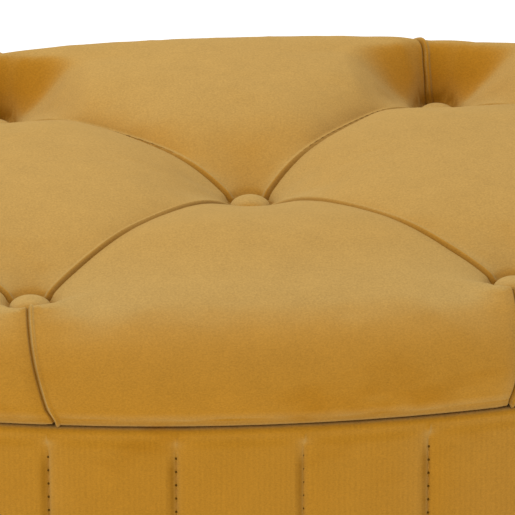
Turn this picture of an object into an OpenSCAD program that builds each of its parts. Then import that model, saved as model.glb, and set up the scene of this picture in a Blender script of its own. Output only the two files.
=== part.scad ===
// Oval storage ottoman: a lined box on four low feet under a deep-buttoned padded lid.
// Millimetres. X runs along the length, +Y is the back (the hinge side), +Z is up,
// and the origin is at the centre of the footprint, on the floor.

/* [Overall] */
// Length of the oval, end to end
body_len = 800; // [660:10:960]
// Depth of the oval, front to back
body_dep = 460; // [380:10:560]
// Radius of the long, flat side arcs
side_r = 692; // [570:2:840]
// Height of the seam between the box and the lid
seam_h = 355; // [290:5:430]
// Open gap at the seam
seam_gap = 2.5; // [2.2:0.1:4]
// Height of the lid above the seam, to the crest of its padding
lid_h = 98; // [85:1:115]

/* [Box] */
// Thickness of the plywood floor
floor_t = 12; // [9:1:18]
// Thickness of the bent plywood wall
wall_t = 5; // [3:0.5:8]
// Thickness of the plywood rim ring
rim_t = 18; // [12:1:24]
// Width of the rim ring, and of the posts under it
rim_w = 24; // [18:1:30]
// Length of a post along the wall
post_len = 40; // [25:1:60]
// Thickness of the foam round the wall
side_foam_t = 8; // [5:1:14]
// Thickness of the velvet with its backing
cover_t = 2.5; // [1.5:0.5:4]
// Thickness of the storage lining
lining_t = 1.5; // [1:0.5:3]
// Thickness of the padded panel on the storage floor
floor_pad_t = 3; // [2:0.5:6]
// Thickness of the cloth under the box
dust_t = 1; // [0.5:0.1:2]
// How far the velvet is turned in under the box
turn_in = 20; // [15:1:24]

/* [Feet] */
// Gap between the floor and the box
foot_h = 20; // [14:1:40]
// Radius of a foot at the floor
foot_r = 18; // [14:1:24]
// Radius of a foot at its top
foot_top_r = 21; // [16:1:24]
// Distance of the feet from the outside of the box
foot_inset = 46; // [45:1:70]

/* [Lid] */
// Thickness of the lid board
board_t = 15; // [12:1:20]
// Distance of the board from the outside of the lid
board_inset = 9; // [8:1:14]
// Thickness of the wadding over the foam
wad_t = 6; // [3:1:10]
// Height of the upright side of the lid
lid_side_h = 40; // [30:1:50]
// How far in the lid's edge rolls over to its crest
roll_in = 38; // [30:1:45]
// Radius of the lid's lower edge
edge_r = 5; // [3:1:8]
// Width of the velvet band turned under the lid
lid_band = 36; // [30:1:45]
// Thickness of the lid's lining
lid_lining_t = 0.8; // [0.6:0.1:1]

/* [Buttons] */
// Diameter of a covered button
button_d = 25; // [18:1:32]
// Height of a button's dome
button_dome = 6; // [4:0.5:8]
// Height of the button seats above the seam
button_seat_h = 57; // [50:1:65]
// Distance of the outer button rows from the long sides
row_inset = 67; // [60:1:85]
// Distance of the end buttons from the ends
end_inset = 110; // [90:1:130]
// Radius of a tufting pit at the crest
pit_top_r = 46; // [35:1:55]
// Radius of the button twine
twine_r = 1; // [0.8:0.1:1.5]
// Radius of a twine washer
washer_r = 9; // [6:1:12]

/* [Hinges] */
// Distance from the middle of one hinge to the middle of the ottoman
hinge_x = 85; // [70:1:140]
// Length of a hinge
hinge_len = 50; // [40:1:70]
// Width of a hinge leaf, from the pin
leaf_w = 42; // [38:1:48]
// Thickness of a hinge leaf
leaf_t = 1; // [0.8:0.1:1]
// Radius of the hinge knuckles
knuckle_r = 3.2; // [2.8:0.1:4]
// Radius of the hinge pin
pin_r = 1.5; // [1.2:0.1:1.8]
// Shank radius of the screws
screw_r = 1.5; // [1.2:0.1:2]
// Length of the hinge screws
screw_len = 12; // [8:1:14]

/* [Hidden] */
$fn = 48;

velvet = [0.72, 0.50, 0.14];
lining_grey = [0.16, 0.15, 0.15];
ply = [0.80, 0.66, 0.46];
foam_white = [0.93, 0.91, 0.84];
steel = [0.72, 0.73, 0.75];
black = [0.06, 0.06, 0.06];

// A tiny overrun for cutters, the running clearance of pins and screws, and the gap
// that is left between parts which move past each other.
cut = 1;
run = 0.05;
edge_clear = 0.4;

// The oval: two long arcs of radius side_r, and two end arcs that meet them smoothly.
half_len = body_len / 2;
half_dep = body_dep / 2;
side_c = side_r - half_dep;
end_r = (pow(side_r, 2) - pow(half_len, 2) - pow(side_c, 2)) / (2 * (side_r - half_len));
end_c = half_len - end_r;
join_a = atan2(side_c, end_c);
END_STEPS = 16;
SIDE_STEPS = 10;
end_step = 2 * join_a / END_STEPS;
side_step = (180 - 2 * join_a) / SIDE_STEPS;

// Heights in the box, from the floor up.
floor_z = foot_h + cover_t;
floor_top = floor_z + floor_t;
rim_top = seam_h - cover_t;
rim_z = rim_top - rim_t;

// Depths in from the outside of the oval.
foam_in = cover_t;
wall_in = foam_in + side_foam_t;
rim_in = wall_in + wall_t;
lining_in = rim_in + rim_w;
store_in = lining_in + lining_t;

// Heights in the lid.
lid_z = seam_h + seam_gap;
lid_top = seam_h + lid_h;
board_z = lid_z + cover_t;
board_top = board_z + board_t;
seat_z = seam_h + button_seat_h;
LID_STEPS = 4;

// Seven buttons in rows of two, three and two.
end_button_x = half_len - end_inset;
row_button_x = end_button_x / 2;
row_y = half_dep - row_inset;
buttons = [
  [0, 0], [-end_button_x, 0], [end_button_x, 0],
  [-row_button_x, -row_y], [row_button_x, -row_y],
  [-row_button_x, row_y], [row_button_x, row_y]
];

// The hinge pins lie in the seam, just behind the furthest point of the back.
function side_y(x) = sqrt(pow(side_r, 2) - pow(x, 2)) - side_c;
pin_y = max(half_dep, side_y(hinge_x - hinge_len / 2) + knuckle_r) + edge_clear;
pin_z = seam_h + seam_gap / 2;
KNUCKLES = 5;
knuckle_len = hinge_len / KNUCKLES;
screw_spread = hinge_len / 3;
screw_y = pin_y - leaf_w + 8;
head_r = 2 * screw_r;

// The feet and the rim bumpers stand at an angle round the end arcs.
foot_a = 50;
foot_x = end_c + (end_r - foot_inset) * cos(foot_a);
foot_y = (end_r - foot_inset) * sin(foot_a);
foot_top = floor_z - dust_t;
rim_mid = rim_in + rim_w / 2;
bumper_t = seam_gap - edge_clear;
bumper_r = 6;
foot_screw_len = 22;
post_end_a = 38;
post_side_a = 10;

function arc(cx, cy, r, a0, a1, n) =
  [for (i = [0:n - 1]) let (a = a0 + (a1 - a0) * i / n) [cx + r * cos(a), cy + r * sin(a)]];

function oval(d) = concat(
  arc(end_c, 0, end_r - d, -join_a, join_a, END_STEPS),
  arc(0, -side_c, side_r - d, join_a, 180 - join_a, SIDE_STEPS),
  arc(-end_c, 0, end_r - d, 180 - join_a, 180 + join_a, END_STEPS),
  arc(0, side_c, side_r - d, 180 + join_a, 360 - join_a, SIDE_STEPS)
);

// A flat oval plate, d in from the outside.
module slab(d, z0, z1) {
  translate([0, 0, z0]) linear_extrude(height = z1 - z0) polygon(oval(d));
}

// An oval ring between two depths.
module ring(d_out, d_in, z0, z1) {
  difference() {
    slab(d_out, z0, z1);
    slab(d_in, z0 - cut, z1 + cut);
  }
}

// A point of the rim's middle line on a side arc, at angle a from the Y axis.
function side_point(d, a) = [(side_r - d) * sin(a), (side_r - d) * cos(a) - side_c];
function end_point(d, a) = [end_c + (end_r - d) * cos(a), (end_r - d) * sin(a)];

// A countersunk screw, head up, with the top of its head at z = 0.
module screw(len, r, head) {
  rotate_extrude() polygon([[0, 0], [head, 0], [r, r - head], [r, -len], [0, -len]]);
}

// The padded form of the lid, d in from the outside of its velvet.
module lid_form(d) {
  hull() {
    slab(d + edge_r, lid_z, lid_z + 0.1);
    slab(d, lid_z + edge_r, seam_h + lid_side_h);
    for (i = [1:LID_STEPS]) {
      a = 90 * i / LID_STEPS;
      z = seam_h + lid_side_h + (lid_h - lid_side_h - d) * sin(a);
      slab(d + roll_in * (1 - cos(a)), z - 0.1, z);
    }
  }
}

// The tufting pits that the buttons pull into the padding.
module pits(d) {
  foot = button_d / 2 + 4 + d;
  top = pit_top_r + d;
  for (b = buttons) translate([b[0], b[1], 0])
    rotate_extrude() polygon([
      [0, seat_z - d], [foot, seat_z - d], [top, lid_top], [top, lid_top + cut], [0, lid_top + cut]
    ]);
}

module twine_holes(z0, z1) {
  for (b = buttons) translate([b[0], b[1], z0]) cylinder(r = twine_r + run, h = z1 - z0);
}

module layer(d_out, d_in) {
  difference() {
    lid_form(d_out);
    pits(d_out);
    difference() {
      lid_form(d_in);
      pits(d_in);
    }
    slab(lid_band, lid_z - cut, board_z + cut);
    slab(board_inset, board_z, board_top);
    slab(-cut, lid_z - cut, d_out > 0 ? board_z : lid_z - cut / 2);
    twine_holes(lid_z - cut, seat_z + cut);
  }
}

// ---- The box -----------------------------------------------------------------------

module base_board() {
  color(ply) difference() {
    slab(rim_in, floor_z, floor_top);
    for (x = [-foot_x, foot_x]) for (y = [-foot_y, foot_y])
      translate([x, y, floor_top]) screw(floor_t + cut, screw_r + run, head_r + run);
  }
}

module side_wall() {
  color(ply) ring(wall_in, rim_in, floor_z, rim_top);
}

// A post against a wall of radius r that is made of flats, each turning by step degrees. Its inner
// face is rim_w in from the wall, and its outer corners just clear it.
module post(r, step) {
  face = sqrt(pow(r * cos(step / 2), 2) - pow(post_len / 2, 2)) - edge_clear;
  translate([r - rim_w, -post_len / 2, floor_top]) cube([face - r + rim_w, post_len, rim_z - floor_top]);
}

// Eight upright posts between the floor and the rim.
module frame_posts() {
  color(ply) for (sx = [0, 1]) for (sy = [0, 1]) mirror([sx, 0, 0]) mirror([0, sy, 0]) {
    translate([end_c, 0, 0]) rotate(post_end_a) post(end_r - rim_in, end_step);
    translate([0, -side_c, 0]) rotate(90 - post_side_a) post(side_r - rim_in, side_step);
  }
}

module hinge_screw_places() {
  for (side = [-1, 1]) for (i = [-1:1]) translate([side * hinge_x + i * screw_spread, screw_y, 0])
    children();
}

module rim_screw_places() {
  for (sx = [-1, 1]) for (sy = [-1, 1]) {
    e = end_point(rim_mid, post_end_a);
    s = side_point(rim_mid, post_side_a);
    translate([sx * e[0], sy * e[1], 0]) children();
    translate([sx * s[0], sy * s[1], 0]) children();
  }
}

module top_rim() {
  color(ply) difference() {
    ring(rim_in, lining_in, rim_z, rim_top);
    rim_screw_places() translate([0, 0, rim_top]) screw(rim_t + cut, screw_r + run, head_r + run);
    hinge_screw_places() translate([0, 0, seam_h - screw_len]) cylinder(r = screw_r + run, h = screw_len);
  }
}

module side_foam() {
  color(foam_white) ring(foam_in, wall_in, floor_z, rim_top);
}

// Velvet round the box, turned in under the floor and over the rim.
module base_cover() {
  color(velvet) difference() {
    slab(0, foot_h, seam_h);
    slab(foam_in, floor_z, rim_top);
    slab(turn_in, foot_h - cut, floor_z + cut);
    slab(store_in, rim_top - cut, seam_h + cut);
    hinge_screw_places() translate([0, 0, seam_h + leaf_t])
      screw(leaf_t + cover_t + cut, screw_r + run, head_r + run);
  }
}

module inner_lining() {
  color(lining_grey) ring(lining_in, store_in, floor_top, rim_top);
}

module floor_lining() {
  color(lining_grey) slab(store_in, floor_top, floor_top + floor_pad_t);
}

module dust_cover() {
  color(black) difference() {
    slab(turn_in, foot_top, floor_z);
    for (x = [-foot_x, foot_x]) for (y = [-foot_y, foot_y])
      translate([x, y, foot_top - cut]) cylinder(r = screw_r + run, h = dust_t + 2 * cut);
  }
}

module foot(sx, sy) {
  color(black) translate([sx * foot_x, sy * foot_y, 0]) difference() {
    cylinder(r1 = foot_r, r2 = foot_top_r, h = foot_top);
    translate([0, 0, floor_top - foot_screw_len]) cylinder(r = screw_r + run, h = foot_screw_len);
  }
}

module foot_front_left() { foot(-1, -1); }
module foot_front_right() { foot(1, -1); }
module foot_back_left() { foot(-1, 1); }
module foot_back_right() { foot(1, 1); }

module foot_screws() {
  color(steel) for (x = [-foot_x, foot_x]) for (y = [-foot_y, foot_y])
    translate([x, y, floor_top]) screw(foot_screw_len, screw_r, head_r);
}

module rim_screws() {
  color(steel) rim_screw_places() translate([0, 0, rim_top]) screw(rim_t, screw_r, head_r);
}

// Felt pads that the closed lid comes down on.
module rim_bumpers() {
  color(black) for (sx = [-1, 1]) for (sy = [-1, 1]) {
    p = end_point(rim_mid, foot_a);
    translate([sx * p[0], sy * p[1], seam_h]) cylinder(r = bumper_r, h = bumper_t);
  }
}

// ---- The hinges --------------------------------------------------------------------

// One leaf with its share of the knuckles. The box's leaf has the three odd ones.
module leaf(side, for_lid) {
  first = for_lid ? 1 : 0;
  x0 = side * hinge_x - hinge_len / 2;
  plate_z = for_lid ? lid_z - leaf_t : seam_h;
  color(steel) difference() {
    union() {
      difference() {
        translate([x0, pin_y - leaf_w, plate_z]) cube([hinge_len, leaf_w, leaf_t]);
        for (k = [0:KNUCKLES - 1]) if (k % 2 != first)
          translate([x0 + k * knuckle_len - edge_clear, pin_y, pin_z]) rotate([0, 90, 0])
            cylinder(r = knuckle_r + edge_clear, h = knuckle_len + 2 * edge_clear);
      }
      for (k = [first:2:KNUCKLES - 1])
        translate([x0 + k * knuckle_len, pin_y, pin_z]) rotate([0, 90, 0])
          cylinder(r = knuckle_r, h = knuckle_len);
    }
    translate([x0 - cut, pin_y, pin_z]) rotate([0, 90, 0])
      cylinder(r = pin_r + run, h = hinge_len + 2 * cut);
    for (i = [-1:1]) translate([side * hinge_x + i * screw_spread, screw_y, plate_z + (for_lid ? 0 : leaf_t)])
      rotate([for_lid ? 180 : 0, 0, 0]) screw(leaf_t + 2 * cut, screw_r + run, head_r + run);
  }
}

module hinge_base_leaf_left() { leaf(-1, false); }
module hinge_base_leaf_right() { leaf(1, false); }
module hinge_lid_leaf_left() { leaf(-1, true); }
module hinge_lid_leaf_right() { leaf(1, true); }

module hinge_pin(side) {
  color(steel) translate([side * hinge_x - hinge_len / 2, pin_y, pin_z]) rotate([0, 90, 0])
    cylinder(r = pin_r, h = hinge_len);
}

module hinge_pin_left() { hinge_pin(-1); }
module hinge_pin_right() { hinge_pin(1); }

module hinge_base_screws() {
  color(steel) hinge_screw_places() translate([0, 0, seam_h + leaf_t])
    screw(screw_len + leaf_t, screw_r, head_r);
}

module hinge_lid_screws() {
  color(steel) hinge_screw_places() translate([0, 0, lid_z - leaf_t]) rotate([180, 0, 0])
    screw(screw_len + leaf_t, screw_r, head_r);
}

// ---- The lid -----------------------------------------------------------------------

module lid_board() {
  color(ply) difference() {
    slab(board_inset, board_z, board_top);
    twine_holes(board_z - cut, board_top + cut);
    hinge_screw_places() translate([0, 0, lid_z]) cylinder(r = screw_r + run, h = screw_len);
  }
}

module lid_foam() {
  color(foam_white) difference() {
    lid_form(cover_t + wad_t);
    pits(cover_t + wad_t);
    slab(-cut, lid_z - cut, board_top);
    twine_holes(board_top - cut, seat_z + cut);
  }
}

module lid_wadding() {
  color(foam_white) layer(cover_t, cover_t + wad_t);
}

// Velvet over the padding, turned under the board.
module lid_cover() {
  color(velvet) difference() {
    layer(0, cover_t);
    hinge_screw_places() translate([0, 0, lid_z - leaf_t]) rotate([180, 0, 0])
      screw(leaf_t + cover_t + cut, screw_r + run, head_r + run);
  }
}

module lid_lining() {
  color(lining_grey) difference() {
    slab(lid_band, lid_z, lid_z + lid_lining_t);
    hinge_screw_places() translate([0, 0, lid_z - leaf_t]) rotate([180, 0, 0])
      screw(leaf_t + cover_t + cut, screw_r + run, head_r + run);
  }
}

// A covered button: a shallow dome on a short collar.
module button(i) {
  dome_r = (pow(button_d / 2, 2) + pow(button_dome, 2)) / (2 * button_dome);
  color(velvet) translate([buttons[i][0], buttons[i][1], seat_z]) intersection() {
    translate([0, 0, button_dome - dome_r]) sphere(r = dome_r);
    cylinder(r = button_d / 2 + cut, h = button_dome + cut);
  }
}

module button_centre() { button(0); }
module button_end_left() { button(1); }
module button_end_right() { button(2); }
module button_front_left() { button(3); }
module button_front_right() { button(4); }
module button_back_left() { button(5); }
module button_back_right() { button(6); }

module button_twines() {
  color(foam_white) for (b = buttons) translate([b[0], b[1], lid_z + lid_lining_t])
    cylinder(r = twine_r, h = seat_z - lid_z - lid_lining_t);
}

module button_washers() {
  color(black) for (b = buttons) translate([b[0], b[1], lid_z + lid_lining_t]) difference() {
    cylinder(r = washer_r, h = cover_t - lid_lining_t);
    translate([0, 0, -cut]) cylinder(r = twine_r + run, h = cover_t + 2 * cut);
  }
}

base_board();
side_wall();
frame_posts();
top_rim();
side_foam();
base_cover();
inner_lining();
floor_lining();
dust_cover();
foot_front_left();
foot_front_right();
foot_back_left();
foot_back_right();
foot_screws();
rim_screws();
rim_bumpers();
hinge_base_leaf_left();
hinge_base_leaf_right();
hinge_pin_left();
hinge_pin_right();
hinge_base_screws();
lid_board();
lid_foam();
lid_wadding();
lid_cover();
lid_lining();
hinge_lid_leaf_left();
hinge_lid_leaf_right();
hinge_lid_screws();
button_centre();
button_end_left();
button_end_right();
button_front_left();
button_front_right();
button_back_left();
button_back_right();
button_twines();
button_washers();
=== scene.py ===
import math

import bmesh
import bpy
import numpy as np
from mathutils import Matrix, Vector, noise
from mathutils.kdtree import KDTree


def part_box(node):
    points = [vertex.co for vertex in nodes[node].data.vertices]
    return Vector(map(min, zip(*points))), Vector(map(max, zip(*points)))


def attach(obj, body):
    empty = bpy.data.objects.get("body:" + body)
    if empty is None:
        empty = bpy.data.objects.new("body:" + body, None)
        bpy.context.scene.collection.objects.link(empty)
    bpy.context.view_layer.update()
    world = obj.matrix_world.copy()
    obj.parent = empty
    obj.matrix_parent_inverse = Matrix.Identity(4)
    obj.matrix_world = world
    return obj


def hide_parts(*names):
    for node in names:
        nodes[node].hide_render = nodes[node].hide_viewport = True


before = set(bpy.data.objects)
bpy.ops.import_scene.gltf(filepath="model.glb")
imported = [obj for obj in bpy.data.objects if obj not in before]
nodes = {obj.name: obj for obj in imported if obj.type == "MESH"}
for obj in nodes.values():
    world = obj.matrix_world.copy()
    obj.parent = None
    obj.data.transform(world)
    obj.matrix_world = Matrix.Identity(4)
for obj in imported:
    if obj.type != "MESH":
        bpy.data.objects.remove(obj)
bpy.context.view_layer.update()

# ---- Camera ---------------------------------------------------------------------------
# A long lens a few metres off, a little left of square to the front and looking down on
# the padded lid, close enough that the lid and the top of the box fill the picture.
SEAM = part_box("base_cover")[1].z
camera = bpy.data.objects.new("camera", bpy.data.cameras.new("camera"))
bpy.context.collection.objects.link(camera)
camera.location = (-0.3448, -3.1651, SEAM + 1.1966)
camera.rotation_euler = (math.radians(90 - 20.25), 0, math.radians(-6.374))
camera.data.lens = 379
camera.data.clip_end = 60
bpy.context.scene.camera = camera

# ---- Studio ---------------------------------------------------------------------------
# A pale floor under a white room, with one wide soft light overhead and a fainter one
# from the front left, as in a catalogue picture.
bpy.context.scene.view_settings.view_transform = "Standard"
room = bpy.data.worlds.new("white_room")
room.use_nodes = True
room.node_tree.nodes["Background"].inputs["Color"].default_value = (1, 1, 1, 1)
room.node_tree.nodes["Background"].inputs["Strength"].default_value = 0.62
bpy.context.scene.world = room


def soft_light(name, place, aim, size, power):
    lamp = bpy.data.lights.new(name, "AREA")
    lamp.shape, lamp.size, lamp.energy = "DISK", size, power
    obj = bpy.data.objects.new(name, lamp)
    bpy.context.collection.objects.link(obj)
    obj.location = place
    obj.rotation_euler = (Vector(aim) - Vector(place)).to_track_quat("-Z", "Y").to_euler()


soft_light("top_light", (-0.5, 0.5, 2.6), (0, 0, 0.4), 1.6, 30)
soft_light("front_light", (-1.5, -2.8, 1.6), (0, 0, 0.3), 1.4, 22)


def new_piece(name, bm, smooth=True):
    """An object at the origin from a finished bmesh."""
    mesh = bpy.data.meshes.new(name)
    bm.to_mesh(mesh)
    bm.free()
    obj = bpy.data.objects.new(name, mesh)
    bpy.context.collection.objects.link(obj)
    if smooth:
        mesh.shade_smooth()
    return obj


bm = bmesh.new()
bmesh.ops.create_grid(bm, x_segments=1, y_segments=1, size=15)
floor = new_piece("studio_floor", bm, smooth=False)
pale = bpy.data.materials.new("pale_floor")
pale.use_nodes = True
pale.node_tree.nodes["Principled BSDF"].inputs["Base Color"].default_value = (0.93, 0.93, 0.93, 1)
pale.node_tree.nodes["Principled BSDF"].inputs["Roughness"].default_value = 0.9
pale.node_tree.nodes["Principled BSDF"].inputs["Emission Color"].default_value = (1, 1, 1, 1)
pale.node_tree.nodes["Principled BSDF"].inputs["Emission Strength"].default_value = 0.35
floor.data.materials.append(pale)


# ---- Cloth and hard finishes ----------------------------------------------------------
# Shader sums are written as plain expressions on sockets; each finish below is built
# with them where its first piece is made.
class Socket:
    """A socket or a number that can be added, multiplied and so on."""

    def __init__(self, tree, value):
        self.tree, self.value = tree, value

    def sum(self, how, *others):
        values = [self.value] + [o.value if isinstance(o, Socket) else o for o in others]
        return self.tree.node("ShaderNodeMath", {"operation": how}, *values)

    def share(self):
        """The value kept between 0 and 1."""
        return self.sum("MAXIMUM", 0).sum("MINIMUM", 1)

    def __add__(self, other): return self.sum("ADD", other)
    def __sub__(self, other): return self.sum("SUBTRACT", other)
    def __mul__(self, other): return self.sum("MULTIPLY", other)
    def __truediv__(self, other): return self.sum("DIVIDE", other)
    def __pow__(self, other): return self.sum("POWER", other)
    def __rsub__(self, other): return (self * -1) + other
    __radd__, __rmul__ = __add__, __mul__


class Finish:
    """A node material, with its Principled shader's own sockets set by name."""

    def __init__(self, name, **sockets):
        self.material = bpy.data.materials.new(name)
        self.material.use_nodes = True
        self.nodes = self.material.node_tree.nodes
        self.links = self.material.node_tree.links
        self.shader = self.nodes["Principled BSDF"]
        for key, value in sockets.items():
            self.put(self.shader.inputs[key.replace("_", " ")], value)

    def put(self, socket, value):
        if isinstance(value, Socket):
            value = value.value
        if isinstance(value, bpy.types.NodeSocket):
            self.links.new(value, socket)
        elif socket.type == "RGBA" and len(value) == 3:
            socket.default_value = (*value, 1)
        else:
            socket.default_value = value

    def node(self, kind, settings, *values, out=0, **named):
        n = self.nodes.new(kind)
        for key, value in settings.items():
            setattr(n, key, value)
        for socket, value in zip(n.inputs, values):
            if value is not None:
                self.put(socket, value)
        for key, value in named.items():
            self.put(n.inputs[key.replace("_", " ")], value)
        return Socket(self, n.outputs[out])

    def mix(self, share, a, b, how="MIX"):
        n = self.nodes.new("ShaderNodeMix")
        n.data_type, n.blend_type = "RGBA", how
        for socket, value in ((n.inputs[0], share), (n.inputs[6], a), (n.inputs[7], b)):
            self.put(socket, value)
        return Socket(self, n.outputs[2])

    def grey(self, value):
        return self.node("ShaderNodeCombineColor", {}, value, value, value)

    def place(self):
        return self.node("ShaderNodeTexCoord", {}, out=3)

    def axis(self, where, name):
        n = self.nodes.new("ShaderNodeSeparateXYZ")
        self.put(n.inputs[0], where)
        return Socket(self, n.outputs[name])

    def noise(self, where, scale, detail=2.0, roughness=0.5):
        return self.node("ShaderNodeTexNoise", {}, Vector=where, Scale=scale,
                         Detail=detail, Roughness=roughness)

    def stretched(self, where, x, y, z):
        return self.node("ShaderNodeMapping", {}, where, None, None, (x, y, z))

    def set(self, name, value):
        self.put(self.shader.inputs[name], value)
        return self

    def bump(self, height, depth, strength=1.0):
        self.set("Normal", self.node("ShaderNodeBump", {}, Height=height,
                                     Distance=depth, Strength=strength))
        return self


# Mustard velvet: a short dense pile, deep ochre, with a painted sheen that makes it paler where
# it is seen along the surface. Pressed and brushed patches shift its tone a little.
OCHRE = (0.470, 0.213, 0.017)
OCHRE_DEEP = (0.385, 0.158, 0.008)
OCHRE_LIT_SHEEN = (0.500, 0.372, 0.150)


# Painted light makes the lid's shoulder paler: from SHOULDER_LOW above the seam, and
# fading out below SHOULDER_HIGH. The stroked patches reach STROKED_REACH from the seam.
SHOULDER_LOW, SHOULDER_HIGH, SHOULDER_FADE = 0.05, 0.078, 0.02
STROKED_REACH = 0.05
# The painted shade on one side of each stitch line: where its middle is, its width, and how far down it
# starts.
STITCH_SHADE_MIDDLE, STITCH_SHADE_WIDTH, STITCH_SHADE_START = 0.0016, 0.0042, 0.014
RIBS_SCALE = 98.0


def bands(finish, direction, *inputs):
    return finish.node("ShaderNodeTexWave", {"wave_type": "BANDS", "bands_direction": direction}, *inputs)


def velvet(name, ribs=False):
    """The velvet; with ribs, as on the box, it also shows its weave and shade painted on one side of each
    stitch line.
    """
    f = Finish(name, Roughness=0.95, Sheen_Weight=0.06, Sheen_Roughness=0.45,
               Sheen_Tint=(1.0, 0.85, 0.45), Specular_IOR_Level=0.04)
    where = f.place()
    brushed = f.noise(where, 7, 3, 0.55)
    mottle = f.noise(where, 55, 4, 0.65)
    pile = f.noise(f.stretched(where, 760, 760, 1250), 1.0, 3, 0.7)
    along = f.node("ShaderNodeLayerWeight", {}, 0.5, out=1)
    tone = f.mix(brushed * 1.8 - 0.45, OCHRE_DEEP, OCHRE)
    tone = f.mix(0.45, OCHRE, tone)
    # Painted sheen: the colour turns paler where the surface is seen along it, on top of the shader's own
    # sheen.
    pale = ((along - 0.02) / 0.40).share()
    pale = pale * pale * (3 - pale * 2)
    up = f.axis(where, "Z") - SEAM
    # Painted light: the upper part of the lid's roll-over is made paler, as if lit from above.
    shoulder_light = (up / SHOULDER_LOW).share() * ((SHOULDER_HIGH - up) / SHOULDER_FADE).share()
    tone = f.mix(pale * 0.36 + along * 0.17 + shoulder_light * 0.13, tone, OCHRE_LIT_SHEEN)
    # Patches that were stroked the other way, mostly low on the lid and high on the box.
    stroked = f.noise(f.stretched(where, 9, 9, 26), 1.0, 3, 0.6)
    low = 1 - (up.sum("ABSOLUTE") / STROKED_REACH).sum("MINIMUM", 1)
    stroked = ((stroked - 0.53) * 9).share() * low
    tone = f.mix(stroked * 0.75, tone, OCHRE_DEEP)
    # Painted shade makes it nearly brown down in the creases, round the buttons and where it turns under.
    painted_shade = f.node("ShaderNodeAttribute", {"attribute_name": "painted_shade"}, out=2)
    tone = f.mix(painted_shade * (mottle * 0.5 + 0.6), tone, (0.215, 0.085, 0.004))
    height = pile * 0.7 + mottle * 0.3
    shade = mottle * 0.16 + pile * 0.62 + 0.61
    if ribs:
        cloth = f.node("ShaderNodeUVMap", {"uv_map": "cloth"})
        rib = bands(f, "X", cloth, RIBS_SCALE, 0.6, 1.0)
        height = height + rib * 0.5
        # Shade is painted on one side of each line of stitching, where the groove faces away from the light.
        stitch_shade = (((f.axis(cloth, "X") - FIRST_LINE) / PITCH + 0.5).sum("FRACT") - 0.5) * PITCH
        stitch_shade = (stitch_shade + STITCH_SHADE_MIDDLE + mottle * 0.0015).sum("ABSOLUTE")
        stitch_shade = (1 - stitch_shade / STITCH_SHADE_WIDTH).sum("MAXIMUM", 0)
        stitch_shade = stitch_shade * ((up * -1 - STITCH_SHADE_START) / 0.012).share()
        tone = f.mix(stitch_shade * (mottle * 0.9 + 0.2), tone, (0.26, 0.105, 0.004))
        shade = (shade + rib * 0.035 - 0.017) * 0.955
    f.set("Base Color", f.mix(1.0, tone, f.grey(shade), "MULTIPLY"))
    f.bump(height, 0.0004, 0.5)
    return f.material


VELVET = velvet("mustard_velvet")


def finish_piece(obj, body, material, slot, *stands_for):
    """Gives a piece its finish, its body and the CAD nodes it stands for; its slot is not used."""
    obj.data.materials.clear()
    obj.data.materials.append(material)
    if stands_for:
        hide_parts(*stands_for)
    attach(obj, body)
    return obj


# ---- The oval -------------------------------------------------------------------------
# Box and lid share one outline: two long flat arcs joined smoothly by two round ends.
HALF_LEN, HALF_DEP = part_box("base_cover")[1].x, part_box("base_cover")[1].y
SIDE_R = 0.692
SIDE_C = SIDE_R - HALF_DEP
END_R = (SIDE_R ** 2 - HALF_LEN ** 2 - SIDE_C ** 2) / (2 * (SIDE_R - HALF_LEN))
END_C = HALF_LEN - END_R
JOIN = math.atan2(SIDE_C, END_C)
ARCS = (
    (0, SIDE_C, SIDE_R, -math.pi / 2, -JOIN),
    (END_C, 0, END_R, -JOIN, JOIN),
    (0, -SIDE_C, SIDE_R, JOIN, math.pi - JOIN),
    (-END_C, 0, END_R, math.pi - JOIN, math.pi + JOIN),
    (0, SIDE_C, SIDE_R, math.pi + JOIN, 3 * math.pi / 2),
)
ROUND = sum(r * (b - a) for _, _, r, a, b in ARCS)


def on_oval(run, inset=0.0):
    """Points of the outline, run metres round it from the middle of the front, set in."""
    run = np.mod(np.asarray(run, float), ROUND)
    x, y, start = np.zeros_like(run), np.zeros_like(run), 0.0
    for cx, cy, r, a, b in ARCS:
        here = run >= start - 1e-9
        angle = a + (run - start) / r
        x = np.where(here, cx + (r - inset) * np.cos(angle), x)
        y = np.where(here, cy + (r - inset) * np.sin(angle), y)
        start += r * (b - a)
    return x, y


def inset_of(x, y):
    """How far in from the outline each point is, by the nearest arc."""
    x, y = np.abs(x), np.abs(y)
    long_side = END_C * (y + SIDE_C) - SIDE_C * x > 0
    return np.where(long_side, SIDE_R - np.hypot(x, y + SIDE_C), END_R - np.hypot(x - END_C, y))


def eased(t):
    t = np.clip(t, 0, 1)
    return t * t * (3 - 2 * t)


def values(mesh, name):
    out = np.empty(len(mesh.vertices))
    mesh.attributes[name].data.foreach_get("value", out)
    return out


def vectors(mesh, what):
    out = np.empty(len(mesh.vertices) * 3)
    mesh.vertices.foreach_get(what, out)
    return out.reshape(-1, 3)


def place_points(mesh, co):
    mesh.vertices.foreach_set("co", np.ascontiguousarray(co).ravel())
    mesh.update()


# ---- Lid cover ------------------------------------------------------------------------
# One piece of velvet pulled over foam and wadding, folded into pleats from button to
# button and down over the edge, and turned in under the board.
LID_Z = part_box("lid_cover")[0].z
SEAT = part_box("button_centre")[0].z
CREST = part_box("lid_cover")[1].z
BAND = HALF_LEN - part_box("lid_lining")[1].x
LOWER_EDGE = 0.002
PILE_DROP = 0.0011
TUCKED_UNDER = 0.0046
SIDE_BULGE = 0.0015
CREASE_RISE = 0.0215
BUTTON_R = 0.0125
GRID_X, GRID_Y = 280, 160
ROLL_RINGS, SIDE_RINGS, EDGE_RINGS, UNDER_RINGS = 22, 16, 3, 4


def middle(node):
    low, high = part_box(node)
    return (low + high) / 2


buttons = {k: middle("button_" + k) for k in (
    "centre", "end_left", "end_right", "front_left", "front_right", "back_left", "back_right")}
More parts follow.
